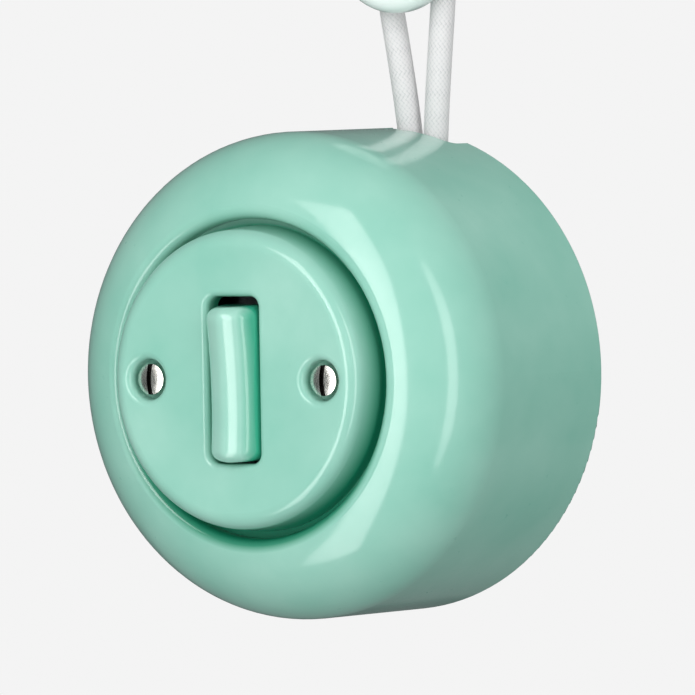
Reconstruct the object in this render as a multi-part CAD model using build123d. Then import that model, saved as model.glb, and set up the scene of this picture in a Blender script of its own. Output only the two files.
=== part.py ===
from build123d import *
import math
import os

# Surface-mounted porcelain rocker switch with its twin braided cord and cord insulator.
# Millimetres. X points right and Z up as the switch hangs on its wall.
# The wall is the plane Y = 0, and every depth below is a distance in front of it, along -Y.

# Porcelain housing
HOUSING_RADIUS = 50.0
HOUSING_WALL = 6.0
HOUSING_SIDE_DEPTH = 36.3
CROWN_ABOVE_LEDGE = 5.0
HOUSING_CROWN_RADIUS = 28.5
LIP_RADIUS = 32.6
LIP_ROUND = 2.3
LEDGE_DEPTH = 50.5
LEDGE_THICKNESS = 4.0
LEDGE_RADIUS = 27.5
BACK_RIM_ROUND = 0.8

# Cord notch in the back rim, turned a little clockwise from the top
NOTCH_TURN = 10.0
NOTCH_WIDTH = 19.0
NOTCH_DEPTH = 6.6
NOTCH_CORNER = 2.5

# Front disc
DISC_HEIGHT = 10.3
DISC_WALL = 5.3
DISC_TOP_RADIUS = 30.2
DISC_EDGE_ROUND = 3.6
DISC_RIM_GAP = 1.3
DISC_SKIRT_RADIUS = 26.0
SLOT_WIDTH = 12.6
SLOT_LENGTH = 33.9
SLOT_CORNER = 2.2
SLOT_EDGE_ROUND = 1.5
SLOT_BACK_BEVEL = 0.9

# Disc screws
DISC_SCREW_OFFSET = 21.5
DISC_SCREW_RADIUS = 2.0
DISC_SCREW_HEAD_RADIUS = 3.15
DISC_SCREW_HEAD_EDGE = 2.3
DISC_SCREW_HEAD_HEIGHT = 3.0
COUNTERBORE_RADIUS = 4.15
COUNTERBORE_DEPTH = 3.9
COUNTERBORE_EDGE_ROUND = 1.6
BOSS_RADIUS = 6.0
BOSS_HEIGHT = 4.0
SCREW_PASSAGE = 0.2

# Rocker
PIVOT_BELOW_FACE = 8.0
REST_TILT = 3.6
ROCKER_SIDE_GAP = 0.3
ROCKER_END_GAP = 1.15
ROCKER_WAIST_HEIGHT = 10.7
ROCKER_END_HEIGHT = 12.0
ROCKER_FOOT_HEIGHT = 1.7
ROCKER_CORNER = 2.0
ROCKER_TOP_ROUND = 1.9
CARRIER_WIDTH = 7.3
CARRIER_LENGTH = 18.1
CARRIER_HEIGHT = 4.55
CEMENT_GAP = 0.05
HUB_RADIUS = 3.2
PIN_RADIUS = 1.25
RUNNING_CLEARANCE = 0.05

# Sprung plunger in the carrier's stem
STEM_RADIUS = 3.0
NOSE_OVERHANG = 1.9
STEM_BORE_RADIUS = 1.8
STEM_BORE_TOP = 4.0
PLUNGER_RADIUS = 1.7
SPRING_LENGTH = 4.5
TIP_CLEARANCE = 0.2
SPRING_WIRE_RADIUS = 0.28
SPRING_COIL_RADIUS = 1.35
SPRING_TURNS = 4.5
SPRING_END_GAP = 0.05

# Support ring
RING_RADIUS = 26.5
RING_THICKNESS = 1.5
RING_BELOW_LEDGE = 3.0
RING_OPENING_LENGTH = 24.0
RING_COLLAR_RADIUS = 3.6
RING_COLLAR_HEIGHT = 2.0
EAR_GAP = 0.5
EAR_THICKNESS = 1.5
EAR_WIDTH = 7.0
EAR_ROUND = 2.2
PIN_OVERHANG = 0.3

# Mechanism body and its back cover
BODY_WIDTH = 34.0
BODY_HEIGHT = 34.0
BODY_DEPTH = 19.5
BODY_CORNER = 2.0
CAVITY_WIDTH = 8.4
CAVITY_LENGTH = 28.0
COVER_THICKNESS = 2.0

# Contact bridge, its pin and its contacts
BRIDGE_PIVOT_RISE = 7.0
BRIDGE_TURN_PER_ROCKER_TURN = 2.0
BRIDGE_WIDTH = 5.6
BRIDGE_LENGTH = 24.6
BRIDGE_THICKNESS = 1.2
BRIDGE_RISE = 1.3
BRIDGE_BOSS_LENGTH = 4.4
BRIDGE_BOSS_DROP = 1.8
BRIDGE_PIN_RADIUS = 0.8
TIP_RADIUS = 1.5
TIP_HEIGHT = 0.9
TIP_OFFSET = 10.5
CONTACT_GAP = 0.2

# Brass terminals
STRIP_THICKNESS = 1.0
BRACKET_WIDTH = 7.8
BRACKET_LENGTH = 10.0
BRACKET_EAR_THICKNESS = 0.8
BRACKET_EAR_WIDTH = 3.6
CONTACT_PAD_WIDTH = 6.0
CONTACT_PAD_LENGTH = 5.0
BLOCK_WIDTH = 5.0
BLOCK_LENGTH = 7.0
BLOCK_HEIGHT = 7.5
BLOCK_SIDE_WALL = 0.9
BLOCK_PARTITION = 0.8
TONGUE_LOW = -2.0
TONGUE_HIGH = 3.0
WIRE_BORE_RADIUS = 1.1
WIRE_BORE_RISE = 4.0
WIRE_BORE_LENGTH = 6.0
STRIP_CLEARANCE = 0.15
TERMINAL_SCREW_RADIUS = 1.5
TERMINAL_SCREW_HEAD_RADIUS = 2.2
TERMINAL_SCREW_HEAD_HEIGHT = 2.0
TERMINAL_SCREW_INSET = 3.5
TERMINAL_SCREW_LENGTH = 3.1

# Small machine screws
SMALL_SCREW_RADIUS = 1.5
SMALL_HEAD_RADIUS = 2.7
SMALL_HEAD_HEIGHT = 1.6
SMALL_SLOT_WIDTH = 0.8
SMALL_SLOT_DEPTH = 0.8
MECHANISM_SCREW_X = 11.5
MECHANISM_SCREW_LENGTH = 10.0
COVER_SCREW_INSET = 5.0
COVER_SCREW_Z = 12.5
COVER_SCREW_LENGTH = 7.0

# Base plate and pillars
BASE_THICKNESS = 8.0
BASE_GAP = 0.5
BASE_NOTCH_LEFT = 1.5
BASE_NOTCH_RIGHT = 17.5
BASE_NOTCH_FLOOR = 21.0
BASE_NOTCH_CORNER = 3.0
WALL_HOLE_SPACING = 60.0
WALL_HOLE_RADIUS = 2.25
PILLAR_X = 6.0
PILLAR_GAP = 1.5
PILLAR_RADIUS = 3.5
PILLAR_THREAD_LENGTH = 9.0
RING_SCREW_LENGTH = 8.0
PILLAR_SCREW_LENGTH = 12.0
BACK_COUNTERBORE_RADIUS = 3.2
BACK_COUNTERBORE_DEPTH = 2.4

# Braided cord: one length, laid in a loop over the insulator's neck
CORD_RADIUS = 2.6
CORD_DEPTH = 3.05
CORD_START_Z = 42.0
CORD_BEND_Z = 49.0
LEFT_CORD_X = 5.75
RIGHT_CORD_X = 11.46
CORD_LOOP = [
    (-1.90, 91.60),
    (3.06, 97.34),
    (10.51, 97.61),
    (15.69, 92.20),
]
SLEEVE_LENGTH = 4.5
SLEEVE_WALL = 0.35
LEAD_RADIUS = 1.4
WIRE_RADIUS = 0.9
LEAD_MIDDLE = [
    (0.0, 3.05, 29.4),
    (0.3, 11.0, 24.8),
    (0.6, 20.5, 27.2),
    (0.88, 28.0, 27.4),
]
LEAD_LAST_RUN = 6.6

# Porcelain cord insulator
INSULATOR_X = 7.07
INSULATOR_Z = 89.17
NECK_RADIUS = 5.3
NECK_LENGTH = 6.3
FLANGE_RADIUS = 15.4
FLANGE_THICKNESS = 6.6
FLANGE_ROUND = 2.9
INSULATOR_BORE_RADIUS = 2.3
INSULATOR_SINK_RADIUS = 5.0
INSULATOR_SINK_DEPTH = 3.0

# Depths that follow from the sizes above
HOUSING_CROWN_DEPTH = LEDGE_DEPTH + CROWN_ABOVE_LEDGE
DISC_FACE_DEPTH = LEDGE_DEPTH + DISC_HEIGHT
RING_FRONT_DEPTH = LEDGE_DEPTH - RING_BELOW_LEDGE
PIVOT_DEPTH = DISC_FACE_DEPTH - PIVOT_BELOW_FACE
RING_BACK_DEPTH = RING_FRONT_DEPTH - RING_THICKNESS
BODY_BACK_DEPTH = RING_BACK_DEPTH - BODY_DEPTH
BRIDGE_PIVOT_DEPTH = BODY_BACK_DEPTH + BRIDGE_PIVOT_RISE
WIRE_BORE_DEPTH = BODY_BACK_DEPTH + WIRE_BORE_RISE
PILLAR_Z = BODY_HEIGHT / 2 + PILLAR_GAP + PILLAR_RADIUS
BRIDGE_REST_TILT = BRIDGE_TURN_PER_ROCKER_TURN * REST_TILT
BRIDGE_TOP = BRIDGE_RISE + BRIDGE_THICKNESS
PLUNGER_REACH = PIVOT_DEPTH - BRIDGE_PIVOT_DEPTH - BRIDGE_TOP - TIP_CLEARANCE - PLUNGER_RADIUS
STEM_LENGTH = PLUNGER_REACH - NOSE_OVERHANG
PLUNGER_TOP = STEM_BORE_TOP + SPRING_LENGTH
ROCKER_HALF_WIDTH = SLOT_WIDTH / 2 - ROCKER_SIDE_GAP
ROCKER_HALF_LENGTH = SLOT_LENGTH / 2 - ROCKER_END_GAP
EAR_INNER_X = ROCKER_HALF_WIDTH + EAR_GAP
EAR_OUTER_X = EAR_INNER_X + EAR_THICKNESS
BLOCK_OUTER_Z = BODY_HEIGHT / 2
OUTER_BLOCK_X = BODY_WIDTH / 2 - BLOCK_SIDE_WALL - BLOCK_WIDTH / 2
INNER_BLOCK_X = OUTER_BLOCK_X - BLOCK_PARTITION - BLOCK_WIDTH
COVER_SCREW_X = COVER_SCREW_INSET - BODY_WIDTH / 2
TERMINAL_SCREW_Z = BLOCK_OUTER_Z - TERMINAL_SCREW_INSET
COVER_BACK_DEPTH = BODY_BACK_DEPTH - COVER_THICKNESS
BASE_RADIUS = HOUSING_RADIUS - HOUSING_WALL - BASE_GAP
BOTH_SIDES = (-1, 1)


def rod(radius, back, front, x=0.0, z=0.0):
    """A round bar along the depth, from the depth back to the depth front."""
    bar = Rot(90, 0, 0) * Cylinder(radius, front - back)
    return Pos(x, -(back + front) / 2, z) * bar


def cross_rod(radius, length, depth, z=0.0):
    """A round bar along X, centred on the switch's middle plane."""
    return Pos(0, -depth, z) * Rot(0, 90, 0) * Cylinder(radius, length)


def slab(x_low, x_high, back, front, z_low, z_high):
    """A rectangular block between two corners."""
    block = Box(x_high - x_low, front - back, z_high - z_low)
    return Pos((x_low + x_high) / 2, -(back + front) / 2, (z_low + z_high) / 2) * block


def turned(edges):
    """A closed outline of radius and depth, revolved about the switch's axis."""
    return revolve(make_face(edges), Axis.Y, 360)


def line(start, end):
    """One straight edge of a turned outline, between (radius, depth) points."""
    return Line((start[0], -start[1]), (end[0], -end[1]))


def round_edges(solid, radius, depth):
    """The circular edges of a solid that have this radius and lie at this depth."""
    found = []
    for edge in solid.edges().filter_by(GeomType.CIRCLE):
        middle = edge.arc_center
        if abs(edge.radius - radius) < 0.02 and abs(middle.Y + depth) < 0.02:
            found.append(edge)
    return found


def crown_depth_at(radius):
    """Depth of the housing's outer curve at a radius from the axis."""
    reach = HOUSING_RADIUS - HOUSING_CROWN_RADIUS
    share = (radius - HOUSING_CROWN_RADIUS) / reach
    rise = HOUSING_CROWN_DEPTH - HOUSING_SIDE_DEPTH
    return HOUSING_SIDE_DEPTH + rise * math.sqrt(1 - share**2)


def cord_notch():
    """The space that the cords need through the housing's back rim."""
    tunnel = slab(
        -NOTCH_WIDTH / 2,
        NOTCH_WIDTH / 2,
        -NOTCH_DEPTH,
        NOTCH_DEPTH,
        BASE_RADIUS - 12,
        HOUSING_RADIUS + 5,
    )
    long_edges = tunnel.edges().filter_by(Axis.Z)
    tunnel = fillet(long_edges, NOTCH_CORNER)
    return Rot(0, NOTCH_TURN, 0) * tunnel


def make_housing():
    """The deep glazed ring: straight side, domed front, and a ledge for the disc."""
    inner_radius = HOUSING_RADIUS - HOUSING_WALL
    ledge_back = LEDGE_DEPTH - LEDGE_THICKNESS
    inner_side_depth = HOUSING_SIDE_DEPTH - 2.0
    lip_depth = crown_depth_at(LIP_RADIUS)
    share = (LIP_RADIUS - HOUSING_CROWN_RADIUS) / (HOUSING_RADIUS - HOUSING_CROWN_RADIUS)
    lip_angle = math.degrees(math.acos(share))
    crown = EllipticalCenterArc(
        (HOUSING_CROWN_RADIUS, -HOUSING_SIDE_DEPTH),
        HOUSING_RADIUS - HOUSING_CROWN_RADIUS,
        HOUSING_CROWN_DEPTH - HOUSING_SIDE_DEPTH,
        start_angle=-lip_angle,
        arc_size=lip_angle,
    )
    vault = EllipticalCenterArc(
        (HOUSING_CROWN_RADIUS, -inner_side_depth),
        inner_radius - HOUSING_CROWN_RADIUS,
        ledge_back - inner_side_depth,
        start_angle=-90,
        arc_size=90,
    )
    outline = [
        line((inner_radius, 0), (HOUSING_RADIUS, 0)),
        line((HOUSING_RADIUS, 0), (HOUSING_RADIUS, HOUSING_SIDE_DEPTH)),
        crown,
        line((LIP_RADIUS, lip_depth), (LIP_RADIUS, LEDGE_DEPTH)),
        line((LIP_RADIUS, LEDGE_DEPTH), (LEDGE_RADIUS, LEDGE_DEPTH)),
        line((LEDGE_RADIUS, LEDGE_DEPTH), (LEDGE_RADIUS, ledge_back)),
        line((LEDGE_RADIUS, ledge_back), (HOUSING_CROWN_RADIUS, ledge_back)),
        vault,
        line((inner_radius, inner_side_depth), (inner_radius, 0)),
    ]
    ring = turned(outline)
    ring = fillet(round_edges(ring, LIP_RADIUS, lip_depth), LIP_ROUND)
    ring = fillet(round_edges(ring, HOUSING_RADIUS, 0), BACK_RIM_ROUND)
    return ring - cord_notch()


def rounded_block(x_size, z_size, corner, back, front):
    """An upright block whose four edges along the depth are rounded."""
    block = slab(-x_size / 2, x_size / 2, back, front, -z_size / 2, z_size / 2)
    return fillet(block.edges().filter_by(Axis.Y), corner)


def face_edges(solid, depth, x_reach, z_reach):
    """Edges that lie whole in the plane at a depth, within a reach of the middle."""
    found = []
    for edge in solid.edges():
        box = edge.bounding_box()
        flat = abs(box.min.Y + depth) < 0.01 and abs(box.max.Y + depth) < 0.01
        near = max(abs(box.min.X), abs(box.max.X)) < x_reach
        if flat and near and max(abs(box.min.Z), abs(box.max.Z)) < z_reach:
            found.append(edge)
    return found


def make_disc():
    """The front disc: a shallow cap with the rocker's slot and two screw wells."""
    rim_radius = LIP_RADIUS - DISC_RIM_GAP
    under = DISC_FACE_DEPTH - DISC_WALL
    outline = [
        line((0, DISC_FACE_DEPTH), (DISC_TOP_RADIUS, DISC_FACE_DEPTH)),
        line((DISC_TOP_RADIUS, DISC_FACE_DEPTH), (rim_radius, LEDGE_DEPTH)),
        line((rim_radius, LEDGE_DEPTH), (DISC_SKIRT_RADIUS, LEDGE_DEPTH)),
        line((DISC_SKIRT_RADIUS, LEDGE_DEPTH), (DISC_SKIRT_RADIUS, under)),
        line((DISC_SKIRT_RADIUS, under), (0, under)),
        line((0, under), (0, DISC_FACE_DEPTH)),
    ]
    disc = turned(outline)
    disc = fillet(round_edges(disc, DISC_TOP_RADIUS, DISC_FACE_DEPTH), DISC_EDGE_ROUND)
    for side in BOTH_SIDES:
        x = side * DISC_SCREW_OFFSET
        disc += rod(BOSS_RADIUS, under - BOSS_HEIGHT, under + 0.5, x)
    passage = DISC_SCREW_RADIUS + SCREW_PASSAGE
    well_floor = DISC_FACE_DEPTH - COUNTERBORE_DEPTH
    for side in BOTH_SIDES:
        x = side * DISC_SCREW_OFFSET
        disc -= rod(passage, LEDGE_DEPTH - 1, DISC_FACE_DEPTH, x)
        disc -= rod(COUNTERBORE_RADIUS, well_floor, DISC_FACE_DEPTH + 1, x)
    disc -= rounded_block(SLOT_WIDTH, SLOT_LENGTH, SLOT_CORNER, under - 1, DISC_FACE_DEPTH + 1)
    well_edges = round_edges(disc, COUNTERBORE_RADIUS, DISC_FACE_DEPTH)
    disc = fillet(well_edges, COUNTERBORE_EDGE_ROUND)
    slot_edges = face_edges(disc, DISC_FACE_DEPTH, SLOT_WIDTH, SLOT_LENGTH / 2 + 1)
    disc = fillet(slot_edges, SLOT_EDGE_ROUND)
    back_edges = face_edges(disc, under, SLOT_WIDTH, SLOT_LENGTH / 2 + 1)
    return chamfer(back_edges, SLOT_BACK_BEVEL)


def at_rest(local):
    """Puts a piece of the rocker, drawn about its pivot, at its tilted rest place."""
    return Pos(0, -PIVOT_DEPTH, 0) * Rot(REST_TILT, 0, 0) * local


def make_rocker():
    """The porcelain key: straight ends, hollowed front and a pocket behind."""
    foot = -ROCKER_FOOT_HEIGHT
    half = ROCKER_HALF_LENGTH
    low_left = (foot, -half)
    low_right = (foot, half)
    high_right = (-ROCKER_END_HEIGHT, half)
    high_left = (-ROCKER_END_HEIGHT, -half)
    waist = (-ROCKER_WAIST_HEIGHT, 0)
    section = make_face(
        [
            Line(low_left, low_right),
            Line(low_right, high_right),
            ThreePointArc(high_right, waist, high_left),
            Line(high_left, low_left),
        ]
    )
    section = Plane.YZ * section
    key = extrude(section, amount=ROCKER_HALF_WIDTH, both=True)
    key = fillet(key.edges().filter_by(Axis.Y), ROCKER_CORNER)
    front = key.faces().filter_by(GeomType.CYLINDER).sort_by(Axis.Y)[0]
    key = fillet(front.edges(), ROCKER_TOP_ROUND)
    pocket_x = CARRIER_WIDTH / 2 + CEMENT_GAP
    pocket_z = CARRIER_LENGTH / 2 + CEMENT_GAP
    key -= slab(-pocket_x, pocket_x, 0, CARRIER_HEIGHT + CEMENT_GAP, -pocket_z, pocket_z)
    return at_rest(key)


def make_carrier():
    """The cast carrier: a head cemented in the key, a hub on the pin, and a stem."""
    half_x = CARRIER_WIDTH / 2
    half_z = CARRIER_LENGTH / 2
    carrier = slab(-half_x, half_x, 0, CARRIER_HEIGHT, -half_z, half_z)
    carrier += cross_rod(HUB_RADIUS, CARRIER_WIDTH, 0)
    carrier += rod(STEM_RADIUS, -STEM_LENGTH, 0)
    carrier -= rod(STEM_BORE_RADIUS, -STEM_LENGTH - 1, -STEM_BORE_TOP)
    carrier -= cross_rod(PIN_RADIUS + RUNNING_CLEARANCE, CARRIER_WIDTH + 1, 0)
    return at_rest(carrier)


def make_rocker_pin():
    """The steel pin that the rocker turns on, held in the support ring's ears."""
    return cross_rod(PIN_RADIUS, 2 * (EAR_OUTER_X + PIN_OVERHANG), PIVOT_DEPTH)


def make_plunger():
    """The round-nosed plunger that slides in the stem and tips the contact bridge."""
    plunger = rod(PLUNGER_RADIUS, -PLUNGER_REACH, -PLUNGER_TOP)
    plunger += Pos(0, PLUNGER_REACH, 0) * Sphere(PLUNGER_RADIUS)
    return at_rest(plunger)


def make_spring():
    """The coil spring between the plunger and the end of the stem's bore."""
    low = -PLUNGER_TOP + SPRING_END_GAP + SPRING_WIRE_RADIUS
    high = -STEM_BORE_TOP - SPRING_END_GAP - SPRING_WIRE_RADIUS
    helix = Helix((high - low) / SPRING_TURNS, high - low, SPRING_COIL_RADIUS)
    start = Plane(helix @ 0, z_dir=helix % 0)
    coil = sweep(start * Circle(SPRING_WIRE_RADIUS), path=helix)
    return at_rest(Pos(0, -low, 0) * Rot(90, 0, 0) * coil)


def make_ring():
    """The pressed steel ring that carries the mechanism, with two ears for the pin."""
    ring = rod(RING_RADIUS, RING_BACK_DEPTH, RING_FRONT_DEPTH)
    for side in BOTH_SIDES:
        x = side * DISC_SCREW_OFFSET
        ring += rod(RING_COLLAR_RADIUS, RING_BACK_DEPTH - RING_COLLAR_HEIGHT, RING_FRONT_DEPTH, x)
        ear = slab(EAR_INNER_X, EAR_OUTER_X, RING_BACK_DEPTH, PIVOT_DEPTH, -EAR_WIDTH / 2, EAR_WIDTH / 2)
        mid = (EAR_INNER_X + EAR_OUTER_X) / 2
        ear += Pos(mid, -PIVOT_DEPTH, 0) * Rot(0, 90, 0) * Cylinder(EAR_ROUND, EAR_THICKNESS)
        ring += ear if side > 0 else mirror(ear, Plane.YZ)
    half_z = RING_OPENING_LENGTH / 2
    ring -= slab(-EAR_INNER_X, EAR_INNER_X, 0, PIVOT_DEPTH, -half_z, half_z)
    ring -= cross_rod(PIN_RADIUS, 2 * EAR_OUTER_X + 2, PIVOT_DEPTH)
    for side in BOTH_SIDES:
        ring -= rod(DISC_SCREW_RADIUS, 0, DISC_FACE_DEPTH, side * DISC_SCREW_OFFSET)
        ring -= rod(SMALL_SCREW_RADIUS + SCREW_PASSAGE, 0, PIVOT_DEPTH, side * MECHANISM_SCREW_X)
        ring -= rod(SMALL_SCREW_RADIUS + SCREW_PASSAGE, 0, PIVOT_DEPTH, -side * PILLAR_X, side * PILLAR_Z)
    return ring


def block_space(x, side, margin):
    """The block of brass at one terminal, grown by a margin for the pocket around it."""
    outer = BLOCK_OUTER_Z + (1.0 if margin else 0.0)
    inner = BLOCK_OUTER_Z - BLOCK_LENGTH - margin
    low, high = sorted((side * inner, side * outer))
    half = BLOCK_WIDTH / 2 + margin
    top = BODY_BACK_DEPTH + BLOCK_HEIGHT + margin
    return slab(x - half, x + half, BODY_BACK_DEPTH, top, low, high)


def strip_space(x_low, x_high, z_low, z_high, margin):
    """A flat strip on the back cover, grown by a margin for the channel around it."""
    top = BODY_BACK_DEPTH + STRIP_THICKNESS + margin
    return slab(x_low - margin, x_high + margin, BODY_BACK_DEPTH, top, z_low - margin, z_high + margin)


def common_strips(margin):
    """The strips that join the bridge's bracket to the outer terminal."""
    outer_x = OUTER_BLOCK_X + BLOCK_WIDTH / 2
    inner_x = OUTER_BLOCK_X - BLOCK_WIDTH / 2
    tongue = strip_space(0, outer_x, TONGUE_LOW, TONGUE_HIGH, margin)
    return tongue + strip_space(inner_x, outer_x, TONGUE_LOW, BLOCK_OUTER_Z - BLOCK_LENGTH, margin)


def contact_foot(side, margin):
    """The foot strip of one fixed contact, from under its pad to its terminal."""
    outer = TIP_OFFSET + CONTACT_PAD_LENGTH / 2 + 0.5
    low, high = sorted((side * (outer - 3), side * outer))
    return strip_space(-CONTACT_PAD_WIDTH / 2, INNER_BLOCK_X, low, high, margin)


def make_body():
    """The moulded mechanism body: a well for the contacts and pockets for terminals."""
    body = rounded_block(BODY_WIDTH, BODY_HEIGHT, BODY_CORNER, BODY_BACK_DEPTH, RING_BACK_DEPTH)
    half_x = CAVITY_WIDTH / 2
    half_z = CAVITY_LENGTH / 2
    body -= slab(-half_x, half_x, BODY_BACK_DEPTH - 1, RING_BACK_DEPTH + 1, -half_z, half_z)
    body -= common_strips(STRIP_CLEARANCE)
    body -= block_space(OUTER_BLOCK_X, 1, STRIP_CLEARANCE)
    for side in BOTH_SIDES:
        body -= contact_foot(side, STRIP_CLEARANCE)
        body -= block_space(INNER_BLOCK_X, side, STRIP_CLEARANCE)
        hole_floor = RING_BACK_DEPTH - MECHANISM_SCREW_LENGTH
        body -= rod(SMALL_SCREW_RADIUS, hole_floor, RING_BACK_DEPTH + 1, side * MECHANISM_SCREW_X)
        hole_top = COVER_BACK_DEPTH + COVER_SCREW_LENGTH
        body -= rod(SMALL_SCREW_RADIUS, COVER_BACK_DEPTH, hole_top, COVER_SCREW_X, side * COVER_SCREW_Z)
    return body


def terminal_places():
    """Middle of each terminal's screw, as x and z."""
    return [
        (OUTER_BLOCK_X, TERMINAL_SCREW_Z),
        (INNER_BLOCK_X, TERMINAL_SCREW_Z),
        (INNER_BLOCK_X, -TERMINAL_SCREW_Z),
    ]


def make_cover():
    """The insulating board that closes the back of the mechanism body."""
    cover = rounded_block(BODY_WIDTH, BODY_HEIGHT, BODY_CORNER, COVER_BACK_DEPTH, BODY_BACK_DEPTH)
    for x, z in terminal_places():
        reach = TERMINAL_SCREW_HEAD_RADIUS + SCREW_PASSAGE
        cover -= rod(reach, COVER_BACK_DEPTH - 1, BODY_BACK_DEPTH + 1, x, z)
    for side in BOTH_SIDES:
        reach = SMALL_SCREW_RADIUS + SCREW_PASSAGE
        cover -= rod(reach, 0, BODY_BACK_DEPTH + 1, COVER_SCREW_X, side * COVER_SCREW_Z)
    return cover


def with_drilled_block(brass, x, side):
    """Adds a terminal block to a strip, with its wire bore and its tapped screw hole."""
    z_outer = side * BLOCK_OUTER_Z
    bore = Pos(x, -WIRE_BORE_DEPTH, z_outer) * Cylinder(WIRE_BORE_RADIUS, 2 * WIRE_BORE_LENGTH)
    screw_hole = rod(TERMINAL_SCREW_RADIUS, 0, WIRE_BORE_DEPTH, x, side * TERMINAL_SCREW_Z)
    return brass + block_space(x, side, 0) - bore - screw_hole


def make_common_terminal():
    """The common terminal: bracket for the bridge's pin, tongue and outer block."""
    half_x = BRACKET_WIDTH / 2
    half_z = BRACKET_LENGTH / 2
    brass = strip_space(-half_x, half_x, -half_z, half_z, 0)
    brass += common_strips(0)
    ear_inner = half_x - BRACKET_EAR_THICKNESS
    half_ear = BRACKET_EAR_WIDTH / 2
    ear = slab(ear_inner, half_x, BODY_BACK_DEPTH, BRIDGE_PIVOT_DEPTH, -half_ear, half_ear)
    mid = (ear_inner + half_x) / 2
    ear += Pos(mid, -BRIDGE_PIVOT_DEPTH, 0) * Rot(0, 90, 0) * Cylinder(half_ear, BRACKET_EAR_THICKNESS)
    brass += ear
    brass += mirror(ear, Plane.YZ)
    brass -= cross_rod(BRIDGE_PIN_RADIUS, BRACKET_WIDTH + 1, BRIDGE_PIVOT_DEPTH)
    return with_drilled_block(brass, OUTER_BLOCK_X, 1)


def fixed_tip_front():
    """Depth of a fixed tip's face, just short of the tilted bridge's tip."""
    tilt = math.radians(BRIDGE_REST_TILT)
    tip_height = BRIDGE_RISE - TIP_HEIGHT
    outer_edge = TIP_OFFSET + TIP_RADIUS
    return BRIDGE_PIVOT_DEPTH + tip_height * math.cos(tilt) - outer_edge * math.sin(tilt) - CONTACT_GAP


def make_contact_terminal(side):
    """A fixed contact: raised pad under the bridge's end, foot strip and block."""
    pad_top = fixed_tip_front() - TIP_HEIGHT
    outer = TIP_OFFSET + CONTACT_PAD_LENGTH / 2 + 0.5
    inner = outer - CONTACT_PAD_LENGTH
    half_x = CONTACT_PAD_WIDTH / 2
    low, high = sorted((side * inner, side * outer))
    brass = slab(-half_x, half_x, pad_top - STRIP_THICKNESS, pad_top, low, high)
    low, high = sorted((side * (outer - STRIP_THICKNESS), side * outer))
    brass += slab(-half_x, half_x, BODY_BACK_DEPTH, pad_top, low, high)
    brass += contact_foot(side, 0)
    return with_drilled_block(brass, INNER_BLOCK_X, side)


def make_fixed_tips():
    """The silver tips on the two fixed contacts."""
    front = fixed_tip_front()
    return [rod(TIP_RADIUS, front - TIP_HEIGHT, front, 0, side * TIP_OFFSET) for side in BOTH_SIDES]


def bridge_at_rest(local):
    """Puts a piece of the bridge, drawn about its pin, at its tilted rest place."""
    return Pos(0, -BRIDGE_PIVOT_DEPTH, 0) * Rot(-BRIDGE_REST_TILT, 0, 0) * local


def make_bridge():
    """The see-saw bridge: a flat bar with a bored boss under its middle."""
    half_x = BRIDGE_WIDTH / 2
    half_z = BRIDGE_LENGTH / 2
    half_boss = BRIDGE_BOSS_LENGTH / 2
    bridge = slab(-half_x, half_x, BRIDGE_RISE, BRIDGE_TOP, -half_z, half_z)
    bridge += slab(-half_x, half_x, -BRIDGE_BOSS_DROP, BRIDGE_RISE, -half_boss, half_boss)
    bridge -= cross_rod(BRIDGE_PIN_RADIUS + RUNNING_CLEARANCE, BRIDGE_WIDTH + 1, 0)
    return bridge_at_rest(bridge)


def make_bridge_tips():
    """The silver tips under the two ends of the bridge."""
    tips = []
    for side in BOTH_SIDES:
        tip = rod(TIP_RADIUS, BRIDGE_RISE - TIP_HEIGHT, BRIDGE_RISE, 0, side * TIP_OFFSET)
        tips.append(bridge_at_rest(tip))
    return tips


def make_bridge_pin():
    """The pin that the bridge rocks on, held in the bracket's ears."""
    return cross_rod(BRIDGE_PIN_RADIUS, BRACKET_WIDTH, BRIDGE_PIVOT_DEPTH)


def machine_screw(seat, length, x, z, toward_front):
    """A slotted cheese-head screw whose head sits on the plane at the depth seat."""
    way = 1 if toward_front else -1
    tip = seat - way * length
    head_end = seat + way * SMALL_HEAD_HEIGHT
    screw = rod(SMALL_SCREW_RADIUS, min(seat, tip), max(seat, tip), x, z)
    screw += rod(SMALL_HEAD_RADIUS, min(seat, head_end), max(seat, head_end), x, z)
    slot_floor = head_end - way * SMALL_SLOT_DEPTH
    low, high = sorted((slot_floor, head_end + way))
    half = SMALL_SLOT_WIDTH / 2
    return screw - slab(x - half, x + half, low, high, z - 5, z + 5)


def make_disc_screws():
    """The two visible screws: raised slotted heads at the floor of their wells."""
    seat = DISC_FACE_DEPTH - COUNTERBORE_DEPTH
    edge = seat + DISC_SCREW_HEAD_EDGE
    crown = seat + DISC_SCREW_HEAD_HEIGHT
    tip = RING_BACK_DEPTH - RING_COLLAR_HEIGHT
    outline = [
        Line((0, -tip), (DISC_SCREW_RADIUS, -tip)),
        Line((DISC_SCREW_RADIUS, -tip), (DISC_SCREW_RADIUS, -seat)),
        Line((DISC_SCREW_RADIUS, -seat), (DISC_SCREW_HEAD_RADIUS, -seat)),
        Line((DISC_SCREW_HEAD_RADIUS, -seat), (DISC_SCREW_HEAD_RADIUS, -edge)),
        TangentArc((0, -crown), (DISC_SCREW_HEAD_RADIUS, -edge), tangent=(1, 0)),
        Line((0, -crown), (0, -tip)),
    ]
    screw = turned(outline)
    half = SMALL_SLOT_WIDTH / 2 + 0.1
    screw -= slab(-half, half, crown - 1.0, crown + 1, -5, 5)
    return [Pos(side * DISC_SCREW_OFFSET, 0, 0) * screw for side in BOTH_SIDES]


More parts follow.
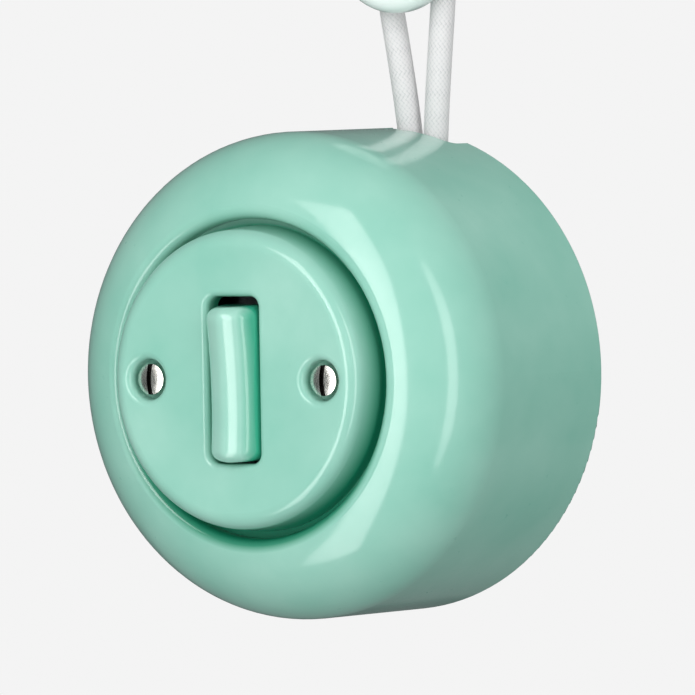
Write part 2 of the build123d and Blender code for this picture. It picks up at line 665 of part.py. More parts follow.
def make_terminal_screws():
    """The three clamping screws, their heads in the holes of the back cover."""
    screws = []
    for x, z in terminal_places():
        seat = BODY_BACK_DEPTH
        shank = rod(TERMINAL_SCREW_RADIUS, seat, seat + TERMINAL_SCREW_LENGTH, x, z)
        head = rod(TERMINAL_SCREW_HEAD_RADIUS, seat - TERMINAL_SCREW_HEAD_HEIGHT, seat, x, z)
        half = SMALL_SLOT_WIDTH / 2
        low = seat - TERMINAL_SCREW_HEAD_HEIGHT
        cut = slab(x - half, x + half, low - 1, low + SMALL_SLOT_DEPTH, z - 4, z + 4)
        screws.append(shank + head - cut)
    return screws


def make_mechanism_screws():
    """The two screws that hold the mechanism body to the support ring."""
    length = RING_THICKNESS + MECHANISM_SCREW_LENGTH
    return [machine_screw(RING_FRONT_DEPTH, length, side * MECHANISM_SCREW_X, 0, True) for side in BOTH_SIDES]


def make_cover_screws():
    """The two screws that hold the back cover to the mechanism body."""
    screws = []
    for side in BOTH_SIDES:
        z = side * COVER_SCREW_Z
        screws.append(machine_screw(COVER_BACK_DEPTH, COVER_SCREW_LENGTH, COVER_SCREW_X, z, False))
    return screws


def pillar_places():
    """Middle of each pillar, as x and z."""
    return [(-side * PILLAR_X, side * PILLAR_Z) for side in BOTH_SIDES]


def make_pillars():
    """The two brass pillars between the base plate and the support ring."""
    pillars = []
    for x, z in pillar_places():
        pillar = rod(PILLAR_RADIUS, BASE_THICKNESS, RING_BACK_DEPTH, x, z)
        pillar -= rod(SMALL_SCREW_RADIUS, BASE_THICKNESS - 1, BASE_THICKNESS + PILLAR_THREAD_LENGTH, x, z)
        pillar -= rod(SMALL_SCREW_RADIUS, RING_BACK_DEPTH - PILLAR_THREAD_LENGTH, RING_FRONT_DEPTH, x, z)
        pillars.append(pillar)
    return pillars


def make_ring_screws():
    """The two screws that hold the support ring on its pillars."""
    return [machine_screw(RING_FRONT_DEPTH, RING_SCREW_LENGTH, x, z, True) for x, z in pillar_places()]


def make_pillar_screws():
    """The two screws that hold the pillars, put in from the back of the base plate."""
    seat = BACK_COUNTERBORE_DEPTH
    return [machine_screw(seat, PILLAR_SCREW_LENGTH, x, z, False) for x, z in pillar_places()]


def make_base():
    """The porcelain base plate: wall-screw holes, pillar holes and the cords' notch."""
    base = rod(BASE_RADIUS, 0, BASE_THICKNESS)
    notch = slab(
        BASE_NOTCH_LEFT,
        BASE_NOTCH_RIGHT,
        -1,
        BASE_THICKNESS + 1,
        BASE_NOTCH_FLOOR,
        HOUSING_RADIUS,
    )
    base -= fillet(notch.edges().filter_by(Axis.Y), BASE_NOTCH_CORNER)
    for side in BOTH_SIDES:
        base -= rod(WALL_HOLE_RADIUS, -1, BASE_THICKNESS + 1, side * WALL_HOLE_SPACING / 2)
    for x, z in pillar_places():
        base -= rod(SMALL_SCREW_RADIUS + SCREW_PASSAGE, -1, BASE_THICKNESS + 1, x, z)
        base -= rod(BACK_COUNTERBORE_RADIUS, -1, BACK_COUNTERBORE_DEPTH, x, z)
    return base


def corner_radii(points):
    """Largest even arc for each corner: 0.45 of its shorter run over the half turn's tangent."""
    radii = []
    for before, corner, after in zip(points, points[1:], points[2:]):
        arriving = Vector(*corner) - Vector(*before)
        leaving = Vector(*after) - Vector(*corner)
        half_turn = math.radians(arriving.get_angle(leaving)) / 2
        radii.append(0.45 * min(arriving.length, leaving.length) / math.tan(half_turn))
    return radii


def tube(points, radius, name):
    """A round cord along straight runs joined by arcs, with its sizes printed."""
    radii = corner_radii(points)
    path = FilletPolyline(*points, radius=radii)
    start = Plane(path @ 0, z_dir=path % 0)
    cord = sweep(start * Circle(radius), path=path)
    share = cord.volume / (math.pi * radius**2 * path.length)
    shown = [round(value, 1) for value in radii]
    print(name, "length", round(path.length, 1), "radii", shown, "volume share", round(share, 4))
    return cord


def make_cord():
    """The braided cord: up one side, over the insulator's neck and down the other."""
    route = [(LEFT_CORD_X, CORD_START_Z), (LEFT_CORD_X, CORD_BEND_Z)]
    route += CORD_LOOP
    route += [(RIGHT_CORD_X, CORD_BEND_Z), (RIGHT_CORD_X, CORD_START_Z)]
    points = [(x, -CORD_DEPTH, z) for x, z in route]
    return tube(points, CORD_RADIUS, "cord")


def make_sleeves():
    """The two sleeves that finish the braid inside the housing."""
    sleeves = []
    for x in (LEFT_CORD_X, RIGHT_CORD_X):
        middle = CORD_START_Z - SLEEVE_LENGTH / 2
        sleeve = Cylinder(CORD_RADIUS - SLEEVE_WALL, SLEEVE_LENGTH)
        sleeves.append(Pos(x, -CORD_DEPTH, middle) * sleeve)
    return sleeves


def make_lead(start_x, end_x, name):
    """One insulated conductor, from its sleeve to its terminal block."""
    route = [(0.0, CORD_DEPTH, CORD_START_Z - SLEEVE_LENGTH)]
    route += LEAD_MIDDLE
    route += [(1.0, WIRE_BORE_DEPTH, BLOCK_OUTER_Z + LEAD_LAST_RUN)]
    route += [(1.0, WIRE_BORE_DEPTH, BLOCK_OUTER_Z)]
    sway = end_x - start_x
    points = [(start_x + share * sway, -depth, z) for share, depth, z in route]
    return tube(points, LEAD_RADIUS, name)


def make_wire_ends():
    """The bare ends of the two conductors, clamped in their terminal blocks."""
    ends = []
    for x in (INNER_BLOCK_X, OUTER_BLOCK_X):
        middle = BLOCK_OUTER_Z - WIRE_BORE_LENGTH / 2
        ends.append(Pos(x, -WIRE_BORE_DEPTH, middle) * Cylinder(WIRE_RADIUS, WIRE_BORE_LENGTH))
    return ends


def make_insulator():
    """The porcelain knob: a neck for the cord's loop under a wide rounded flange."""
    front = NECK_LENGTH + FLANGE_THICKNESS
    outline = [
        line((INSULATOR_BORE_RADIUS, 0), (NECK_RADIUS, 0)),
        line((NECK_RADIUS, 0), (NECK_RADIUS, NECK_LENGTH)),
        line((NECK_RADIUS, NECK_LENGTH), (FLANGE_RADIUS, NECK_LENGTH)),
        line((FLANGE_RADIUS, NECK_LENGTH), (FLANGE_RADIUS, front)),
        line((FLANGE_RADIUS, front), (INSULATOR_SINK_RADIUS, front)),
        line((INSULATOR_SINK_RADIUS, front), (INSULATOR_BORE_RADIUS, front - INSULATOR_SINK_DEPTH)),
        line((INSULATOR_BORE_RADIUS, front - INSULATOR_SINK_DEPTH), (INSULATOR_BORE_RADIUS, 0)),
    ]
    knob = turned(outline)
    rims = round_edges(knob, FLANGE_RADIUS, NECK_LENGTH) + round_edges(knob, FLANGE_RADIUS, front)
    knob = fillet(rims, FLANGE_ROUND)
    return Pos(INSULATOR_X, 0, INSULATOR_Z) * knob


def save(name, shape):
    """Writes one named piece, or one group of like pieces."""
    if isinstance(shape, list):
        shape = Compound(children=shape)
    export_step(shape, os.path.join("parts", name + ".step"))


os.makedirs("parts", exist_ok=True)

save("porcelain_housing", make_housing())
save("front_disc", make_disc())
save("disc_screws", make_disc_screws())
save("rocker_button", make_rocker())
save("rocker_carrier", make_carrier())
save("rocker_pin", make_rocker_pin())
save("plunger", make_plunger())
save("plunger_spring", make_spring())
save("support_ring", make_ring())
save("mechanism_screws", make_mechanism_screws())
save("mechanism_body", make_body())
save("mechanism_cover", make_cover())
save("cover_screws", make_cover_screws())
save("common_terminal", make_common_terminal())
save("upper_terminal", make_contact_terminal(1))
save("lower_terminal", make_contact_terminal(-1))
save("fixed_tips", make_fixed_tips())
save("contact_bridge", make_bridge())
save("bridge_tips", make_bridge_tips())
save("bridge_pin", make_bridge_pin())
save("terminal_screws", make_terminal_screws())
save("pillars", make_pillars())
save("ring_screws", make_ring_screws())
save("pillar_screws", make_pillar_screws())
save("base_plate", make_base())
save("cord", make_cord())
save("cord_sleeves", make_sleeves())
save("left_lead", make_lead(LEFT_CORD_X, INNER_BLOCK_X, "left_lead"))
save("right_lead", make_lead(RIGHT_CORD_X, OUTER_BLOCK_X, "right_lead"))
save("wire_ends", make_wire_ends())
save("insulator", make_insulator())
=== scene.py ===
# %% [markdown]
# A porcelain light switch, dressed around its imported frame
#
# This lesson builds the looks of a round surface-mounted switch: a deep housing
# in mint-green glaze, a raised front disc with a rocker, two slotted screws, a
# braided cord and a little porcelain cord insulator.
# Everything is in metres in the part's own frame: the wall is the plane Y = 0,
# the switch faces -Y, X points right and Z up.

# %% Load the frame
import math
from collections import namedtuple

import bmesh
import bpy
from mathutils import Matrix, Vector


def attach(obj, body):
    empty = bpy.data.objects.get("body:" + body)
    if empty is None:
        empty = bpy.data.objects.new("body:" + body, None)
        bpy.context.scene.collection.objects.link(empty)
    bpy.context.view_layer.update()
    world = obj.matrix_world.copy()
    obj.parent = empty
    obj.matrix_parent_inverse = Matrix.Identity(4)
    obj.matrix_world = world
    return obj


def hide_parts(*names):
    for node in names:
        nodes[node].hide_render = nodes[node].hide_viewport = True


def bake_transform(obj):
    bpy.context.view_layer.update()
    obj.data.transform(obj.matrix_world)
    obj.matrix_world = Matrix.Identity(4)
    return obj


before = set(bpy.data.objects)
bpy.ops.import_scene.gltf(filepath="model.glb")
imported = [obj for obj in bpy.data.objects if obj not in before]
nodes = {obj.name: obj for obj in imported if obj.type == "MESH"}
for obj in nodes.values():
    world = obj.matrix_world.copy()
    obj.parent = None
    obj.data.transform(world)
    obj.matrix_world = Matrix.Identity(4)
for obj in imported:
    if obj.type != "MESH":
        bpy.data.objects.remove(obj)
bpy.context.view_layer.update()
scene = bpy.context.scene
MM = 0.001

# %% [markdown]
# ## The camera
#
# The picture was taken with a long lens from the right of square-on and a touch
# above. A long lens keeps the front disc and the back rim almost the same size,
# so the distance matters less than the angle. A slight roll tips the picture a
# degree, which is easier than turning the whole switch on its wall.

# %% Camera
PICTURE_SIZE = 695
FOCAL_PIXELS = 10722.0
CAMERA_AZIMUTH = math.radians(34.9)
CAMERA_ELEVATION = math.radians(1.91)
CAMERA_DISTANCE = 2202.5 * MM
CAMERA_TARGET = Vector((3.77, -25.0, 5.32)) * MM
CAMERA_ROLL = math.radians(-1.03)
SENSOR_MM = 36.0
CLIP_END = 20.0

camera_data = bpy.data.cameras.new("switch_camera")
camera_data.sensor_width = SENSOR_MM
camera_data.lens = FOCAL_PIXELS / PICTURE_SIZE * SENSOR_MM
camera_data.clip_end = CLIP_END
camera = bpy.data.objects.new("switch_camera", camera_data)
scene.collection.objects.link(camera)
camera_back = Vector((
    math.sin(CAMERA_AZIMUTH) * math.cos(CAMERA_ELEVATION),
    -math.cos(CAMERA_AZIMUTH) * math.cos(CAMERA_ELEVATION),
    math.sin(CAMERA_ELEVATION),
))
look = (-camera_back).to_track_quat("-Z", "Y").to_matrix().to_4x4()
camera.matrix_world = (
    Matrix.Translation(CAMERA_TARGET + camera_back * CAMERA_DISTANCE)
    @ look
    @ Matrix.Rotation(CAMERA_ROLL, 4, "Z")
)
bpy.context.scene.camera = camera
print("camera lens", round(camera_data.lens), "mm at", CAMERA_DISTANCE, "m")

# %% [markdown]
# ## Small tools for shapes
#
# The housing, the disc and the metal parts come with the frame in their final
# shape. The rocker key and the braided cord are drawn here, point by point. Both
# are closed skins of small faces, so one tool makes the mesh from its points and
# another joins two closed rings of points with a strip of faces.

# %% Shape tools
SAME_POINT = 1e-7


def add_piece(name, verts, faces, smooth_angle=35):
    """A mesh object from points in millimetres, shaded smooth up to an angle."""
    mesh = bpy.data.meshes.new(name)
    mesh.from_pydata([Vector(v) * MM for v in verts], [], faces)
    skin = bmesh.new()
    skin.from_mesh(mesh)
    bmesh.ops.remove_doubles(skin, verts=skin.verts, dist=SAME_POINT)
    bmesh.ops.recalc_face_normals(skin, faces=skin.faces)
    limit = math.radians(smooth_angle)
    for face in skin.faces:
        face.smooth = True
    for edge in skin.edges:
        bent = len(edge.link_faces) == 2 and edge.calc_face_angle(0.0) > limit
        edge.smooth = not bent
    skin.to_mesh(mesh)
    skin.free()
    piece = bpy.data.objects.new(name, mesh)
    scene.collection.objects.link(piece)
    return piece


def strip_between(faces, first, second, count):
    """Joins two closed rings of points, given by the index of each ring's first point."""
    for i in range(count):
        j = (i + 1) % count
        faces.append((first + i, first + j, second + j, second + i))


print("shape tools ready")

# %% [markdown]
# ## Node tools
#
# The world, the floor and every finish are graphs of shader nodes. A few short
# helpers keep each graph readable: one adds a node, one joins two sockets, and the
# others map a range, blend two colours or put two values through a sum. A Mix node
# has sockets for every kind of value, most of them asleep, so its colour sockets
# are picked by number.

# %% Node tools
MIX_FACTOR, MIX_FIRST, MIX_SECOND, MIX_RESULT = 0, 6, 7, 2


def add_node(owner, kind, **settings):
    """A node of one kind with its properties set."""
    node = owner.node_tree.nodes.new(kind)
    for key, value in settings.items():
        setattr(node, key, value)
    return node


def wire(owner, out_socket, in_socket):
    """Joins two sockets."""
    owner.node_tree.links.new(out_socket, in_socket)


def to_range(owner, value, low, high, new_low, new_high):
    """Maps one range of a value on another, held at its ends."""
    node = add_node(owner, "ShaderNodeMapRange")
    node.inputs["From Min"].default_value = low
    node.inputs["From Max"].default_value = high
    node.inputs["To Min"].default_value = new_low
    node.inputs["To Max"].default_value = new_high
    wire(owner, value, node.inputs["Value"])
    return node.outputs["Result"]


def blend_colours(owner, factor, first, second):
    """Two colours blended by a factor; a colour is a socket or four numbers."""
    node = add_node(owner, "ShaderNodeMix", data_type="RGBA")
    for slot, value in ((MIX_FACTOR, factor), (MIX_FIRST, first), (MIX_SECOND, second)):
        socket = node.inputs[slot]
        if isinstance(value, bpy.types.NodeSocket):
            wire(owner, value, socket)
        else:
            socket.default_value = value
    return node.outputs[MIX_RESULT]


def combine(owner, operation, first, second):
    """Two values put through one sum, such as MULTIPLY, MAXIMUM or SUBTRACT."""
    node = add_node(owner, "ShaderNodeMath", operation=operation)
    for socket, value in zip(node.inputs, (first, second)):
        if isinstance(value, bpy.types.NodeSocket):
            wire(owner, value, socket)
        else:
            socket.default_value = value
    return node.outputs["Value"]


print("node tools ready")

# %% [markdown]
# ## Light
#
# The photo shows two tall window-like reflections: a broad one that wraps the
# housing's shoulder just outside the lip, and a thin one further round. On a
# curved glaze each reflection tells where its lamp stood. Both lean to the left at
# their ends, so each lamp is a bow of flat strips set end to end, and the thin
# one tapers and dims towards its ends. A bow is given by a few rows, and a smooth
# curve is read through them. With few strips the joints between them would show in
# the glaze as a fan of streaks.
#
# The world adds a weak pale light, strongest from the right and above, which
# fills the housing's side. To the camera the world is plain pale grey. Gloss and
# glass show the same backdrop dimmer, and dimmest low down, so that the lamps stay
# the brightest things in each reflection.

# %% Ray tools
def shown_directly(owner):
    """1 for rays that show a thing as it is: to the camera, in gloss and through glass."""
    path = add_node(owner, "ShaderNodeLightPath").outputs
    plain = combine(owner, "MAXIMUM", path["Is Camera Ray"], path["Is Glossy Ray"])
    return combine(owner, "MAXIMUM", plain, path["Is Transmission Ray"])


def choose_shader(owner, factor, first, second):
    """The first shader where the factor is 0 and the second where it is 1."""
    node = add_node(owner, "ShaderNodeMixShader")
    for socket, value in zip(node.inputs, (factor, first, second)):
        wire(owner, value, socket)
    return node.outputs["Shader"]


print("ray tools ready")

# %% World
scene.view_settings.view_transform = "Standard"
BACKDROP = (0.904, 0.904, 0.904, 1.0)
GLOSS_HIGH = (0.24, 0.26, 0.26, 1.0)
GLOSS_LOW = (0.07, 0.08, 0.08, 1.0)
GLOSS_CLIMB = (-0.4, 0.7)
SKY_STRENGTH = 0.79
SKY_AXIS = (0.87, 0.10, 0.48)
SKY_FADE = (-1.0, 0.8)
SKY_TOWARDS = (0.95, 1.0, 0.99, 1.0)
SKY_AWAY = (0.24, 0.24, 0.24, 1.0)

world = bpy.data.worlds.new("studio")
scene.world = world
world.use_nodes = True
world.node_tree.nodes.clear()
direction = add_node(world, "ShaderNodeTexCoord").outputs["Generated"]
facing = add_node(world, "ShaderNodeVectorMath", operation="DOT_PRODUCT")
facing.inputs[1].default_value = SKY_AXIS
wire(world, direction, facing.inputs[0])
sky_share = to_range(world, facing.outputs["Value"], *SKY_FADE, 0.0, 1.0)
lighting = add_node(world, "ShaderNodeBackground")
lighting.inputs["Strength"].default_value = SKY_STRENGTH
wire(world, blend_colours(world, sky_share, SKY_AWAY, SKY_TOWARDS), lighting.inputs["Color"])
upright = add_node(world, "ShaderNodeSeparateXYZ")
wire(world, direction, upright.inputs["Vector"])
climb = to_range(world, upright.outputs["Z"], *GLOSS_CLIMB, 0.0, 1.0)
in_gloss = blend_colours(world, climb, GLOSS_LOW, GLOSS_HIGH)
to_camera = add_node(world, "ShaderNodeLightPath").outputs["Is Camera Ray"]
seen = add_node(world, "ShaderNodeBackground")
wire(world, blend_colours(world, to_camera, in_gloss, BACKDROP), seen.inputs["Color"])
world_shader = choose_shader(
    world, shown_directly(world), lighting.outputs["Background"], seen.outputs["Background"]
)
world_out = add_node(world, "ShaderNodeOutputWorld")
wire(world, world_shader, world_out.inputs["Surface"])
print("world lights at", SKY_STRENGTH, "and shows at", BACKDROP[0])

# %% Strip lamps
LAMP_AIM = Vector((0.0, -0.03, 0.0))
LAMP_DISTANCE = 1.3


def towards(azimuth, elevation):
    """The direction at an angle to the right of straight in front and above level."""
    a = math.radians(azimuth)
    e = math.radians(elevation)
    return Vector((math.sin(a) * math.cos(e), -math.cos(a) * math.cos(e), math.sin(e)))


def strip_lamp(name, low_end, high_end, width, glow):
    """A flat strip between two directions, its front as bright as glow all over."""
    foot = LAMP_AIM + towards(*low_end) * LAMP_DISTANCE
    head = LAMP_AIM + towards(*high_end) * LAMP_DISTANCE
    middle = (foot + head) / 2
    tall = (head - foot).length
    light = bpy.data.lights.new(name, "AREA")
    light.shape = "RECTANGLE"
    light.size = width
    light.size_y = tall
    light.energy = glow * math.pi * width * tall
    lamp = bpy.data.objects.new(name, light)
    scene.collection.objects.link(lamp)
    back = (middle - LAMP_AIM).normalized()
    up = (head - foot).normalized()
    side = up.cross(back)
    turn = Matrix((side, up, back)).transposed().to_4x4()
    lamp.matrix_world = Matrix.Translation(middle) @ turn


print("strip lamps stand", LAMP_DISTANCE, "m away")

# %% Bows of strips
# Each row of a bow is elevation and azimuth in degrees, width in metres, and glow.
FRONT_BOW = [
    (-55.0, -18.0, 0.50, 2.5),
    (-36.0, -2.5, 0.44, 3.7),
    (-13.0, 6.5, 0.36, 4.3),
    (7.0, 7.2, 0.34, 4.7),
    (28.0, 2.5, 0.46, 4.6),
    (46.0, -15.0, 0.56, 3.1),
]
FRONT_STRIPS = 72
SIDE_BOW = [
    (-35.0, 57.0, 0.14, 1.8),
    (-18.0, 63.0, 0.25, 2.9),
    (4.0, 65.0, 0.27, 3.2),
    (26.0, 63.5, 0.25, 2.9),
    (43.0, 57.0, 0.12, 1.8),
]
SIDE_STRIPS = 24


def on_bow(rows, elevation):
    """Azimuth, width and glow at an elevation, on a smooth curve through the bow's rows."""
    last = len(rows) - 1
    i = min(sum(row[0] <= elevation for row in rows[1:]), last - 1)
    before, low, high, after = (rows[min(max(k, 0), last)] for k in range(i - 1, i + 3))
    span = high[0] - low[0]
    t = (elevation - low[0]) / span
    values = []
    # A cubic through two rows, with the slope at each set by the rows on either side.
    for k in (1, 2, 3):
        leaving = (high[k] - before[k]) / (high[0] - before[0]) * span
        arriving = (after[k] - low[k]) / (after[0] - low[0]) * span
        rise = high[k] - low[k]
        curve = (leaving + arriving - 2 * rise) * t + 3 * rise - 2 * leaving - arriving
        values.append(low[k] + leaving * t + curve * t * t)
    return values


def hang_bow(name, rows, count):
    """A bow of flat strips set end to end, from the lowest row to the highest."""
    lowest, highest = rows[0][0], rows[-1][0]
    stops = [lowest + (highest - lowest) * i / count for i in range(count + 1)]
    for i, (low, high) in enumerate(zip(stops, stops[1:])):
        _, width, bright = on_bow(rows, (low + high) / 2)
        low_end = (on_bow(rows, low)[0], low)
        high_end = (on_bow(rows, high)[0], high)
        strip_lamp(f"{name}_{i + 1}", low_end, high_end, width, bright)
    print(name, "hangs in", count, "strips")


hang_bow("front_strip", FRONT_BOW, FRONT_STRIPS)
hang_bow("side_strip", SIDE_BOW, SIDE_STRIPS)

# %% [markdown]
# ## Floor
#
# The switch hangs on a wall, so the floor only catches light from below. It lies
# well under the switch, below the lowest strip. It is a matt grey sheet that still
# takes a shadow, with a glow of its own towards the camera that brings it to the
# backdrop's tone. In reflections the glow is faint, because a bright floor would
# wash out the housing's underside.

# %% Finish tools
def new_finish(name, colour, roughness, metallic=0.0):
    """A named material with its shader's plain values set."""
    material = bpy.data.materials.new(name)
    material.use_nodes = True
    shader = material.node_tree.nodes["Principled BSDF"]
    shader.inputs["Base Color"].default_value = colour
    shader.inputs["Roughness"].default_value = roughness
    shader.inputs["Metallic"].default_value = metallic
    return material, shader


def dress(material, *pieces):
    """Gives pieces, or carried-over nodes by name, one finish all over."""
    for piece in pieces:
        data = nodes[piece].data if isinstance(piece, str) else piece.data
        data.materials.clear()
        data.materials.append(material)


print("finish tools ready")

# %% Floor
FLOOR_DROP = 1.25
FLOOR_REACH = 3.0
FLOOR_TONE = (0.20, 0.20, 0.20, 1.0)
FLOOR_ROUGHNESS = 0.9
FLOOR_GLOW = (0.787, 0.785, 0.786, 1.0)
FLOOR_IN_GLOSS = (0.04, 0.05, 0.05, 1.0)
floor_corners = [
    (x * FLOOR_REACH, y * FLOOR_REACH, -FLOOR_DROP)
    for x, y in ((-1, -1), (1, -1), (1, 1), (-1, 1))
]
floor_mesh = bpy.data.meshes.new("floor")
floor_mesh.from_pydata(floor_corners, [], [(0, 1, 2, 3)])
floor = bpy.data.objects.new("floor", floor_mesh)
scene.collection.objects.link(floor)
floor_paint, matt = new_finish("floor_paint", FLOOR_TONE, FLOOR_ROUGHNESS)
floor_to_camera = add_node(floor_paint, "ShaderNodeLightPath").outputs["Is Camera Ray"]
glow_tone = blend_colours(floor_paint, floor_to_camera, FLOOR_IN_GLOSS, FLOOR_GLOW)
glow = add_node(floor_paint, "ShaderNodeEmission")
wire(floor_paint, glow_tone, glow.inputs["Color"])
glowing = add_node(floor_paint, "ShaderNodeAddShader")
wire(floor_paint, matt.outputs["BSDF"], glowing.inputs[0])
wire(floor_paint, glow.outputs["Emission"], glowing.inputs[1])
floor_shader = choose_shader(
    floor_paint, shown_directly(floor_paint), matt.outputs["BSDF"], glowing.outputs["Shader"]
)
floor_out = floor_paint.node_tree.nodes["Material Output"]
wire(floor_paint, floor_shader, floor_out.inputs["Surface"])
dress(floor_paint, floor)
print("floor", FLOOR_DROP, "m below the switch")

# %% [markdown]
# ## Surface tools
#
# Every finish is a Principled shader whose colour, roughness and bump come from
# noise in the object's own coordinates, so that it stays put when a piece moves.
# Colours are noted as they look on a display and turned into the linear ones that
# a shader wants. Where a finish changes with the place on the switch, it reads the
# surface point's distance from the wall or from the switch's axis.

# %% Colour and grain
def srgb(red, green, blue):
    """A display colour, 0 to 255, as the linear colour that a shader wants."""
    linear = []
    for value in (red, green, blue):
        share = value / 255
        linear.append(share / 12.92 if share <= 0.04045 else ((share + 0.055) / 1.055) ** 2.4)
    return (*linear, 1.0)


def place_in_mm(material):
    """The surface point in millimetres, the same in every pose of its piece."""
    where = add_node(material, "ShaderNodeTexCoord")
    scale = add_node(material, "ShaderNodeVectorMath", operation="SCALE")
    scale.inputs["Scale"].default_value = 1 / MM
    wire(material, where.outputs["Object"], scale.inputs[0])
    return scale.outputs["Vector"]


def grain(material, where, per_mm, detail=2.0, stretch=None):
    """Noise of so many waves to the millimetre, squeezed along an axis if asked."""
    source = where
    if stretch:
        squeeze = add_node(material, "ShaderNodeVectorMath", operation="MULTIPLY")
        squeeze.inputs[1].default_value = stretch
        wire(material, where, squeeze.inputs[0])
        source = squeeze.outputs["Vector"]
    cloud = add_node(material, "ShaderNodeTexNoise")
    cloud.inputs["Scale"].default_value = per_mm
    cloud.inputs["Detail"].default_value = detail
    wire(material, source, cloud.inputs["Vector"])
    return cloud.outputs["Fac"]


def ramp(material, factor, stops):
    """A colour ramp over a factor, from (position, colour) stops."""
    node = add_node(material, "ShaderNodeValToRGB")
    elements = node.color_ramp.elements
    while len(elements) < len(stops):
        elements.new(0.5)
    for element, (position, colour) in zip(elements, stops):
        element.position = position
        element.color = colour
    wire(material, factor, node.inputs["Fac"])
    return node.outputs["Color"]


print("colour and grain tools ready")

# %% Place and bump
Spot = namedtuple("Spot", "x depth z reach")


def measured(material, where):
    """A surface point's x, depth in front of the wall, z and reach from the switch's axis."""
    parts = add_node(material, "ShaderNodeSeparateXYZ")
    wire(material, where, parts.inputs["Vector"])
    flat = add_node(material, "ShaderNodeVectorMath", operation="MULTIPLY")
    flat.inputs[1].default_value = (1, 0, 1)
    wire(material, where, flat.inputs[0])
    reach = add_node(material, "ShaderNodeVectorMath", operation="LENGTH")
    wire(material, flat.outputs["Vector"], reach.inputs[0])
    depth = combine(material, "MULTIPLY", parts.outputs["Y"], -1.0)
    return Spot(parts.outputs["X"], depth, parts.outputs["Z"], reach.outputs["Value"])


def emboss(material, shader, heights, distance_mm):
    """Bump from a height between 0 and 1, as deep as the distance given."""
    node = add_node(material, "ShaderNodeBump")
    node.inputs["Distance"].default_value = distance_mm * MM
    node.inputs["Strength"].default_value = 1.0
    wire(material, heights, node.inputs["Height"])
    wire(material, node.outputs["Normal"], shader.inputs["Normal"])


print("place and bump tools ready")

# %% [markdown]
# ## Mint glaze
#
# Glaze is coloured glass on a white body. It runs a little while it is fired, so
# it gathers in corners and thins on edges; here its tone is mottled a little
# darker and paler at random. Its surface keeps a very slow waviness that bends each
# reflection slightly. A clear coat over a softer base gives the deep wet look
# better than low roughness alone, and the coat is a shade softer than a mirror, as
# the edges of the reflections show.
#
# A deeper tone is laid on by place on the switch, partly for glaze pooled in
# hollows and partly as painted shade: in the groove round the disc, with more
# painted shade low down, in the rocker's slot, less in the screw wells, and on the
# rocker's sides and foot.
# The ring that stands on the kiln shelf stays bare, so the back edge is unglazed.

# %% Mint glaze
BARE_BODY = srgb(236, 231, 221)
BARE_EDGE = (0.40, 0.10)
COAT_ROUGHNESS = 0.12
COAT_IOR = 1.56
BODY_SPECULAR = 0.10
BODY_ROUGHNESS = (0.26, 0.36)
WAVE_HEIGHT = 0.08
FLECK_SHARE = 0.22


def mint_glaze(name, tone, pooled, thin, deep, pool_and_shade):
    """A glossy glaze: slow mottling, fine flecks, and a deep tone for pooled glaze and painted
    shade, laid on by a mask.
    """
    material, shader = new_finish(name, tone, BODY_ROUGHNESS[1])
    where = place_in_mm(material)
    clouds = grain(material, where, 0.045, 3.0)
    flecks = grain(material, where, 0.6, 4.0)
    body = ramp(material, clouds, [(0.30, pooled), (0.52, tone), (0.75, thin)])
    fleck_share = to_range(material, flecks, 0.35, 0.75, 0.0, FLECK_SHARE)
    speckled = blend_colours(material, fleck_share, body, tone)
    spot = measured(material, where)
    tinted = blend_colours(material, pool_and_shade(material, spot), speckled, deep)
    bare = to_range(material, spot.depth, *BARE_EDGE, 0.0, 1.0)
    wire(material, blend_colours(material, bare, tinted, BARE_BODY), shader.inputs["Base Color"])
    gloss = to_range(material, flecks, 0.2, 0.8, *BODY_ROUGHNESS)
    wire(material, combine(material, "MAXIMUM", gloss, bare), shader.inputs["Roughness"])
    wire(material, to_range(material, bare, 0.0, 0.6, 1.0, 0.0), shader.inputs["Coat Weight"])
    shader.inputs["Coat Roughness"].default_value = COAT_ROUGHNESS
    shader.inputs["Coat IOR"].default_value = COAT_IOR
    shader.inputs["Specular IOR Level"].default_value = BODY_SPECULAR
    waves = grain(material, where, 0.11, 1.0)
    emboss(material, shader, waves, WAVE_HEIGHT)
    return material


print("glaze recipe ready")

# %% Where the glaze pools and where shade is painted
# Each pair is the place where the pooled glaze and painted shade start and the place where they are
# full, in mm.
GROOVE_INNER = (29.0, 30.4)
GROOVE_OUTER = (34.0, 32.5)
GROOVE_DEPTH = (59.2, 52.0)
# How much more painted shade the groove gets on its lower side, per mm below the axis.
LOWER_SHADE_PER_MM = 0.045
CUT_DEPTH = (60.3, 57.6)
CUT_REACH = (28.2, 27.4)
SLOT_SIDE = (14.0, 10.0)
WELL_SHARE = 0.3
FULL_POOL_AND_SHADE = 0.95
KEY_SIDE = (3.4, 5.6)
KEY_BASE = (62.2, 60.4)


def groove_pool_and_shade(material, spot):
    """The groove round the disc: pooled glaze and painted shade, with more painted shade on its
    lower side.
    """
    inner = to_range(material, spot.reach, *GROOVE_INNER, 0.0, 1.0)
    shade_shift = combine(material, "MULTIPLY", spot.z, LOWER_SHADE_PER_MM)
    outer = to_range(material, combine(material, "ADD", spot.reach, shade_shift), *GROOVE_OUTER, 0.0, 1.0)
    low = to_range(material, combine(material, "ADD", spot.depth, shade_shift), *GROOVE_DEPTH, 0.0, 1.0)
    return combine(material, "MULTIPLY", combine(material, "MULTIPLY", inner, outer), low)


def disc_pool_and_shade(material, spot):
    """The groove, and what is cut into the disc: pooled glaze and painted shade in the slot, and
    less in the screw wells.
    """
    cut = to_range(material, spot.depth, *CUT_DEPTH, 0.0, FULL_POOL_AND_SHADE)
    off_centre = combine(material, "ABSOLUTE", spot.x, 0.0)
    at_slot = to_range(material, off_centre, *SLOT_SIDE, WELL_SHARE, 1.0)
    inside = to_range(material, spot.reach, *CUT_REACH, 0.0, 1.0)
    sunk = combine(material, "MULTIPLY", combine(material, "MULTIPLY", cut, at_slot), inside)
    return combine(material, "MAXIMUM", sunk, groove_pool_and_shade(material, spot))


